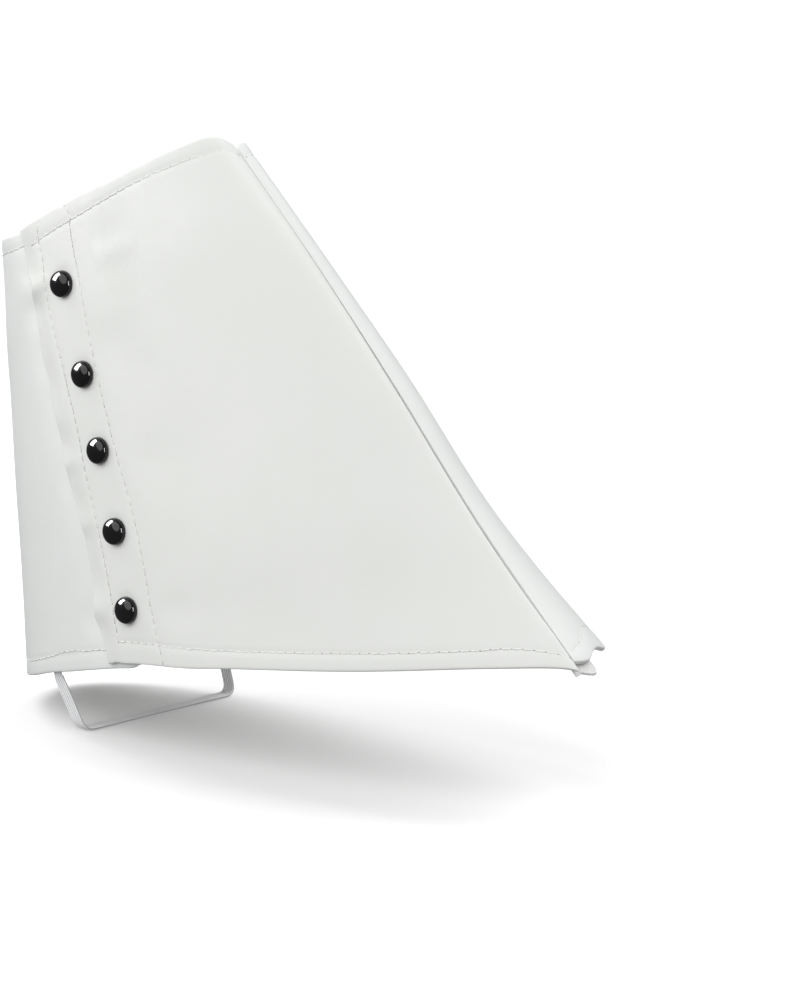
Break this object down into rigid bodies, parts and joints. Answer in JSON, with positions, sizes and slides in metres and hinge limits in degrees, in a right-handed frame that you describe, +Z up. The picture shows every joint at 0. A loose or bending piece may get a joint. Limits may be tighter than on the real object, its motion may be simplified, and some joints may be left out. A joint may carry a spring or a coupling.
{
  "type": "spat",
  "caption": "Right foot spat of stiff white coated cloth, hollow as worn, with a front seam, a row of black domed buttons at the outer side and an elastic strap under the heel.",
  "frame": {"origin": "middle of the ankle that the spat is worn on, between the rim and the hem", "axes": "+X towards the toe, +Y towards the inner side of the right foot, +Z up the leg"},
  "size_m": [0.2483, 0.0883, 0.1915],
  "materials": {
    "coated_cloth": "satin white coating over a fabric backing",
    "backing": "matt white brushed backing",
    "elastic": "matt white ribbed elastic",
    "black_enamel": "gloss black"
  },
  "bodies": {
    "root": {"outer_quarter": "coated_cloth", "inner_quarter": "coated_cloth", "front_seam_allowance": "backing", "under_strap": "elastic", "button_1": "black_enamel", "button_2": "black_enamel", "button_3": "black_enamel", "button_4": "black_enamel", "button_5": "black_enamel"}
  },
  "joints": []
}
